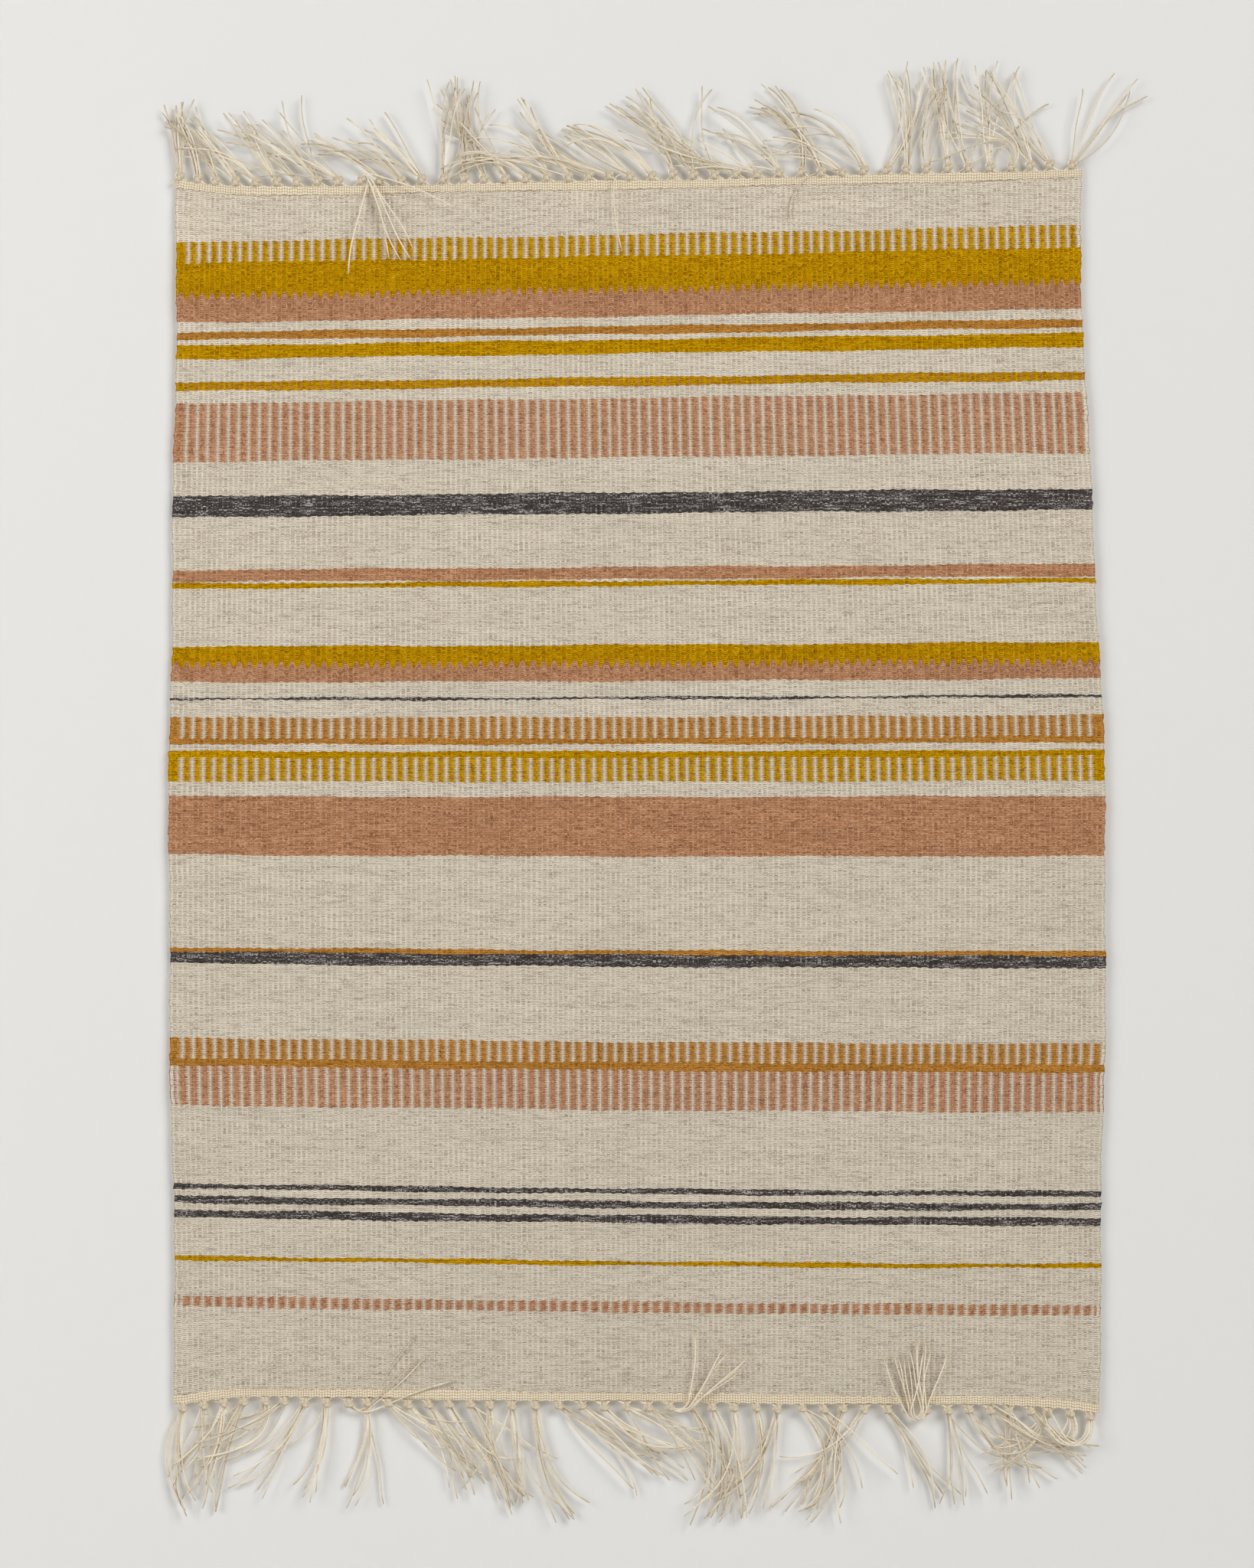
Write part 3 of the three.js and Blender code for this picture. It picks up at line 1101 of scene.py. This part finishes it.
def lay_cords(
    sculpt: Sculpt, points: Array, angles: Array, radius: Array, marks: Array
) -> None:
    """Adds cords that run mostly in the plane of the wall.

    Args:
        sculpt: where they are added.
        points: cords by rings by three, the centre lines.
        angles: cords by rings, the direction of each in the plane of the wall, from up, right plus.
        radius: cords by rings.
        marks: cords by rings by three, the strand marks.
    """
    sides = 6
    around = math.pi / 2 + 2 * math.pi * np.arange(sides) / sides
    rings = points.shape[1]
    caps = np.array([[3, 2, 1, 0], [5, 4, 3, 0]])
    tips = sides * (rings - 1) + caps[:, ::-1]
    faces = np.concatenate([ring_quads(rings, sides), caps, tips])
    out = np.array([0.0, 1.0, 0.0])
    for line, angle, thick, mark in zip(points, angles, radius, marks, strict=True):
        across = np.stack([np.cos(angle), 0 * angle, -np.sin(angle)], axis=-1)[:, None]
        ring = np.cos(around)[:, None] * across + np.sin(around)[:, None] * out
        block = line[:, None] + thick[:, None, None] * ring
        block_marks = np.repeat(mark[:, None], sides, axis=1)
        sculpt.add(block.reshape(-1, 3), block_marks.reshape(-1, 3), faces)


@dataclass
class Knot:
    """The overhand knot that holds four warp ends, drawn tight against the heading."""

    half_width: float = 2.2 * MM
    half_height: float = 2.0 * MM
    half_depth: float = 1.5 * MM
    cord_radius: float = 1.35 * MM
    strands: int = 5
    furrow: float = 0.13  # how deep the furrows between its strands are, of the radius
    rings: int = 34
    sides: int = 10

    def model(self, material: Any) -> Any:
        """Models the knot once, at the origin, its way out towards +Z.

        Args:
            material: its finish.

        Returns:
            The knot, which is then copied to every tassel.
        """
        t = 2 * math.pi * np.arange(self.rings) / self.rings
        x = self.half_width * (np.sin(t) + 2 * np.sin(2 * t)) / 3.6
        y = -self.half_depth * np.sin(3 * t)
        z = self.half_height * (np.cos(t) - 2 * np.cos(2 * t)) / 3.3
        line = np.stack([x, y, z], axis=-1)
        along = np.roll(line, -1, axis=0) - np.roll(line, 1, axis=0)
        along /= np.linalg.norm(along, axis=1, keepdims=True)
        side = np.cross(along, [0.0, 1.0, 0.0])
        side /= np.linalg.norm(side, axis=1, keepdims=True)
        over = np.cross(along, side)[:, None]
        # The strands lie side by side in the knot's cord, and turn a little along it.
        theta = 2 * math.pi * np.arange(self.sides)[:, None] / self.sides
        lobes = 1 + self.furrow * np.cos(self.strands * theta[:, 0] + 2 * t[:, None])
        ring = np.cos(theta) * side[:, None] + np.sin(theta) * over
        block = line[:, None] + (self.cord_radius * lobes)[:, :, None] * ring
        marks = np.zeros_like(block)
        marks[:, :, 0] = 8 * t[:, None]
        # Painted shade: the furrows between the knot's strands take a darker tone; the whole knot's
        # tone is also set darker than the loose strands'.
        marks[:, :, 2] = 0.45 + 0.35 * (lobes < 1)
        quads = ring_quads(self.rings + 1, self.sides) % (self.rings * self.sides)
        sculpt = Sculpt(STRAND)
        sculpt.add(block.reshape(-1, 3), marks.reshape(-1, 3), quads)
        return sculpt.finish("overhand_knot", material)


@dataclass
class Tassel:
    """Four doubled warp ends, their knot and the loose strands beyond it.

    Args:
        end: which end of the cloth it is at.
        number: its number from the left.
        lay: how it lies.
        base: the place on the cloth's edge that it leaves from.
        ends: the X of its four warp ends at the edge.
        fallen: how one more strand lies, fallen over the cloth by itself.
    """

    end: End
    number: int
    lay: Lay
    base: Array
    ends: Array
    fallen: Lay | None = None
    strands: int = 6
    rings: int = 24
    strand_radius: float = 0.44 * MM
    spread: float = 2.4 * MM  # how far apart the outer strands leave the knot
    knot_reach: float = 3.5 * MM
    knot_depth: float = 2.5 * MM
    stub_rings: int = 5
    stub_radius: float = 0.5 * MM
    stub_start: float = 1.2 * MM  # how far inside the heading's edge the doubled ends start

    def build(self, knot: Any, material: Any, random: Generator) -> Any:
        """Models the tassel.

        Args:
            knot: the knot, modelled once.
            material: the linen.
            random: the source of its small differences.

        Returns:
            The new piece: the knot's copy joined with the strands.
        """
        way = self.end.value
        slant = math.radians(np.clip(self.lay.lean, -50, 50)) * 0.35
        reach = self.knot_reach * random.uniform(0.82, 1.15)
        middle = self.base + [reach * math.sin(slant), 0.0, way * reach * math.cos(slant)]
        middle[1] = -self.knot_depth - random.uniform(0, 0.8) * MM
        sculpt = Sculpt(STRAND)
        self.add_stubs(sculpt, middle, random)
        self.add_strands(sculpt, middle, self.lay, self.strands, random)
        if self.fallen is not None:
            self.add_strands(sculpt, middle, self.fallen, 1, np.random.default_rng(5))
        piece = sculpt.finish(f"tassel_{self.end.name.lower()}_{self.number + 1:02d}", material)
        turn = slant + random.uniform(-0.25, 0.25)
        self.add_knot(piece, knot, middle, turn if way > 0 else math.pi - turn)
        return piece

    def add_knot(self, piece: Any, knot: Any, middle: Array, turn: float) -> None:
        """Copies the knot to its place and joins it to the strands."""
        bpy.ops.object.select_all(action="DESELECT")
        knot.select_set(True)
        bpy.context.view_layer.objects.active = knot
        bpy.ops.object.duplicate(linked=False)
        bpy.ops.transform.rotate(value=-turn, orient_axis="Y", center_override=(0, 0, 0))
        bpy.ops.transform.translate(value=tuple(middle))
        bpy.ops.object.transform_apply(location=True, rotation=True, scale=True)
        piece.select_set(True)
        bpy.context.view_layer.objects.active = piece
        bpy.ops.object.join()

    def add_stubs(self, sculpt: Sculpt, middle: Array, random: Generator) -> None:
        """Adds the doubled warp ends that run from the heading into the knot."""
        along = np.linspace(0, 1, self.stub_rings)
        z = self.base[2] - self.end.value * self.stub_start
        starts = np.array([[x + o * MM, -1.7 * MM, z] for x in self.ends for o in (-0.45, 0.45)])
        goals = middle + random.uniform(-0.7, 0.7, starts.shape) * MM
        bow = np.sin(math.pi * along)[None, :, None] * np.array([0.0, -0.5 * MM, 0.0])
        lines = starts[:, None] + (goals - starts)[:, None] * ease(along)[None, :, None] + bow
        lines[:, :, 2] = starts[:, None, 2] + (goals - starts)[:, None, 2] * along
        step = np.gradient(lines, axis=1)
        angles = np.arctan2(step[:, :, 0], step[:, :, 2])
        marks = np.zeros_like(lines)
        marks[:, :, 0] = along[None] * 7
        marks[:, :, 2] = random.uniform(0, 0.3, len(starts))[:, None]
        lay_cords(sculpt, lines, angles, np.full(angles.shape, self.stub_radius), marks)

    def add_strands(
        self, sculpt: Sculpt, middle: Array, lay: Lay, count: int, random: Generator
    ) -> None:
        """Adds loose strands, each with its own small difference from the given lay.

        Args:
            sculpt: where they are added.
            middle: the middle of the knot.
            lay: how they lie.
            count: how many there are.
            random: the source of their differences.
        """
        size = (count, 1)
        fan = np.linspace(-0.5, 0.5, count)[:, None]
        lean = lay.lean + lay.fan * fan + random.normal(0, 0.3 * lay.fan, size)
        bend = lay.bend + random.normal(0, 17, size) - 0.8 * lay.fan * fan
        reach = lay.reach * MM * random.uniform(0.84, 1.06, size)
        for stray in random.choice(count, lay.strays, replace=False):
            if not lay.over_cloth:
                lean[stray] += random.uniform(-30, 30)
                bend[stray] += random.uniform(-40, 40)
                reach[stray] *= random.uniform(0.8, 1.0)
        along = np.linspace(0, 1, self.rings)
        turned = ease(along / lay.turned_by) if lay.turned_by < 1 else along**1.2
        waves = random.uniform(0.5, 1.4, size)
        phase = random.uniform(0, 2 * math.pi, size)
        sway = 9 * np.sin(2 * math.pi * waves * along + phase) * along
        angles = np.radians(lean + bend * turned + sway)
        if self.end is End.FOOT:
            angles = math.pi - angles
        step = reach / (self.rings - 1)
        x = np.cumsum(np.sin(angles) * step, axis=1)
        z = np.cumsum(np.cos(angles) * step, axis=1)
        x = x - x[:, :1] + (middle[0] + fan * self.spread * (1 - 0.4 * along))
        z = z - z[:, :1] + middle[2]
        deep = random.uniform(-6.0, -1.0, size) * MM
        if lay.over_cloth:
            deep = random.uniform(-8.5, -6.6, size) * MM
        start = middle[1] + random.uniform(-0.9, 0.9, size) * MM
        y = start + (deep - start) * ease(along * (3.5 if lay.over_cloth else 1.3))
        radius = self.strand_radius * random.uniform(0.85, 1.1, size)
        taper = np.where(along > 0.97, 0.7, 1.0)
        tone = random.uniform(0, 0.3 if lay.over_cloth else 0.75, size)
        marks = np.stack([along * reach / MM, along + 0 * reach, tone + 0 * along], axis=-1)
        lay_cords(sculpt, np.stack([x, y, z], axis=-1), angles, radius * taper, marks)


class Fringe:
    """The tassels at both ends of the cloth."""

    GROUPS = (("left", 0, 15), ("middle", 15, 29), ("right", 29, 44))
    DEPTH = 1.6 * MM  # the ends leave the heading this far in front of its back
    FALLEN = {(End.TOP, 22): Lay(-70, -92, 0, 56, 0.3, 0)}

    def __init__(self, shape: ClothShape, finishes: Finishes) -> None:
        """Keeps the cloth's shape and the finishes."""
        self.shape = shape
        self.finishes = finishes
        self.pieces: dict[End, list[Any]] = {End.TOP: [], End.FOOT: []}

    def build(self) -> None:
        """Builds the tassels from left to right, and lets each group swing as one."""
        linen = self.finishes.take(Linen())
        knot = Knot().model(linen)
        random = np.random.default_rng(22)
        for end, lays in ((End.TOP, TOP_LAYS), (End.FOOT, FOOT_LAYS)):
            for number, lay in enumerate(lays):
                piece = self.place(end, number, lay).build(knot, linen, random)
                self.pieces[end].append(piece)
                log.info("%s: %d faces", piece.name, len(piece.data.polygons))
        bpy.data.objects.remove(knot)
        self.hang()

    def hang(self) -> None:
        """Puts each group's tassels on its body; a foot tassel turned over the cloth's face goes on the
        cloth's body, and a top one only has its transform baked.
        """
        for end, lays in ((End.TOP, TOP_LAYS), (End.FOOT, FOOT_LAYS)):
            for side, first, last in self.GROUPS:
                body = f"tassels_{end.name.lower()}_{side}"
                cloth = next(j["parent"] for j in frame["joints"] if j["child"] == body)
                for number in range(first, last):
                    piece, lay = self.pieces[end][number], lays[number]
                    if lay.over_cloth and end is End.TOP:
                        Hinge("upper_bend").bend(piece, UPPER_BEND)
                    else:
                        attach(piece, cloth if lay.over_cloth else body)
                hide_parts(body)

    @staticmethod
    def nudge(end: End, number: int) -> float:
        """How far a knot is pulled sideways; the ends were not counted off quite evenly."""
        if end is End.TOP:
            return float(np.interp(number, (0, 2, 9, 34, 43), (-4.0, -7.0, -7.5, 1.0, 1.0))) * MM
        places, pulls = (0, 4, 8, 11, 16, 22, 32, 43), (-1.5, -3.0, -5.0, -7.0, -6.0, 0.0, 5.0, 0.0)
        return float(np.interp(number, places, pulls)) * MM

    def place(self, end: End, number: int, lay: Lay) -> Tassel:
        """Finds where a tassel leaves the cloth's edge."""
        corners = Corners.of_node(f"heading_{end.name.lower()}")
        left, right = corners.border(end is End.TOP)
        per_knot = WARP_ENDS // KNOTS_PER_END
        numbers = number * per_knot + np.arange(per_knot) + 0.5
        share = self.shape.share_across(numbers)
        x = left[0] + (right[0] - left[0]) * share + self.nudge(end, number)
        middle = float(share.mean())
        height = left[1] + (right[1] - left[1]) * middle
        height += end.value * float(self.shape.ears(np.array([middle]), end)[0])
        height += float(self.shape.drift(np.array([middle]), np.array([height]))[0])
        base = np.array([float(x.mean()), -self.DEPTH, height])
        return Tassel(end, number, lay, base, x, self.FALLEN.get((end, number)))


# ---- the studio ----


@dataclass
class Studio:
    """A pale wall and floor, a soft key from the upper right, and the camera square on."""

    middle: tuple[float, float, float] = (-0.9 * MM, 0.0, -357.8 * MM)
    distance: float = 2.5
    frame_height: float = 939.4 * MM
    air_light: float = 0.14
    air_seen: float = 0.7  # looked at, the air is as pale as the walls; it lights less than that

    LIGHTS = (  # name, place, size, power, colour
        ("key", (3.4, -4.0, 2.9), 3.0, 285.0, (1.0, 0.985, 0.965)),
        ("fill", (-2.2, -1.9, 0.3), 1.6, 43.0, (0.98, 0.99, 1.0)),
        ("behind", (-2.0, 2.8, 0.6), 2.0, 120.0, (0.98, 0.99, 1.0)),
    )

    def build(self) -> None:
        """Sets up the wall, the floor, the lights and the camera."""
        wall = self.board("wall", 4.0, (0, 1.2 * MM, -0.3), (math.pi / 2, 0, 0), True)
        floor = self.board("floor", 6.0, (0, -1.5, -1.35), (0, 0, 0), False)
        key, fill, behind = (self.light(*row) for row in self.LIGHTS)
        self.sky()
        self.camera()
        # Colours are shown as they are mixed, with no film look laid over them.
        bpy.context.scene.view_settings.view_transform = "Standard"

    def board(self, name: str, size: float, place: tuple, turn: tuple, one_sided: bool) -> Any:
        """Adds a flat board of the studio."""
        bpy.ops.mesh.primitive_plane_add(size=size, location=place, rotation=turn)
        board = bpy.context.object
        board.name = name
        board.data.materials.append(PaintedBoard(f"{name}_paint", one_sided=one_sided).make())
        return board

    def light(self, name: str, place: tuple, size: float, power: float, colour: tuple) -> Any:
        """Adds a soft light that faces the middle of the cloth."""
        bpy.ops.object.light_add(type="AREA", location=place)
        lamp = bpy.context.object
        lamp.name = name
        lamp.data.size = size
        lamp.data.energy = power
        lamp.data.color = colour
        away = Vector(place) - Vector(self.middle)
        lamp.rotation_euler = away.to_track_quat("Z", "Y").to_euler()
        return lamp

    def sky(self) -> None:
        """Lights the studio evenly from all round."""
        world = bpy.data.worlds.new("studio_air")
        world.use_nodes = True
        tree = world.node_tree
        background = tree.nodes["Background"]
        background.inputs[0].default_value = linear("eceef2")
        looked_at = add_node(tree, "LightPath").outputs["Is Camera Ray"]
        strength = add_node(tree, "MapRange", {"Value": looked_at, 3: self.air_light, 4: self.air_seen})
        tree.links.new(strength.outputs[0], background.inputs[1])
        bpy.context.scene.world = world

    def camera(self) -> None:
        """Places the camera square to the wall."""
        data = bpy.data.cameras.new("camera")
        data.lens = 36 * self.distance / self.frame_height
        camera = bpy.data.objects.new("camera", data)
        camera.location = (self.middle[0], -self.distance, self.middle[2])
        camera.rotation_euler = (math.pi / 2, 0, 0)
        bpy.context.collection.objects.link(camera)
        bpy.context.scene.camera = camera


def main() -> None:
    """Builds the cloth, the fringe and the studio, in that order."""
    shape = ClothShape()
    finishes = Finishes()
    cloth = Cloth(shape, finishes)
    cloth.build()
    fringe = Fringe(shape, finishes)
    fringe.build()
    cloth.declare({"natural_01": fringe.pieces[End.TOP], "natural_21": fringe.pieces[End.FOOT]})
    Studio().build()


if __name__ == "__main__":
    main()
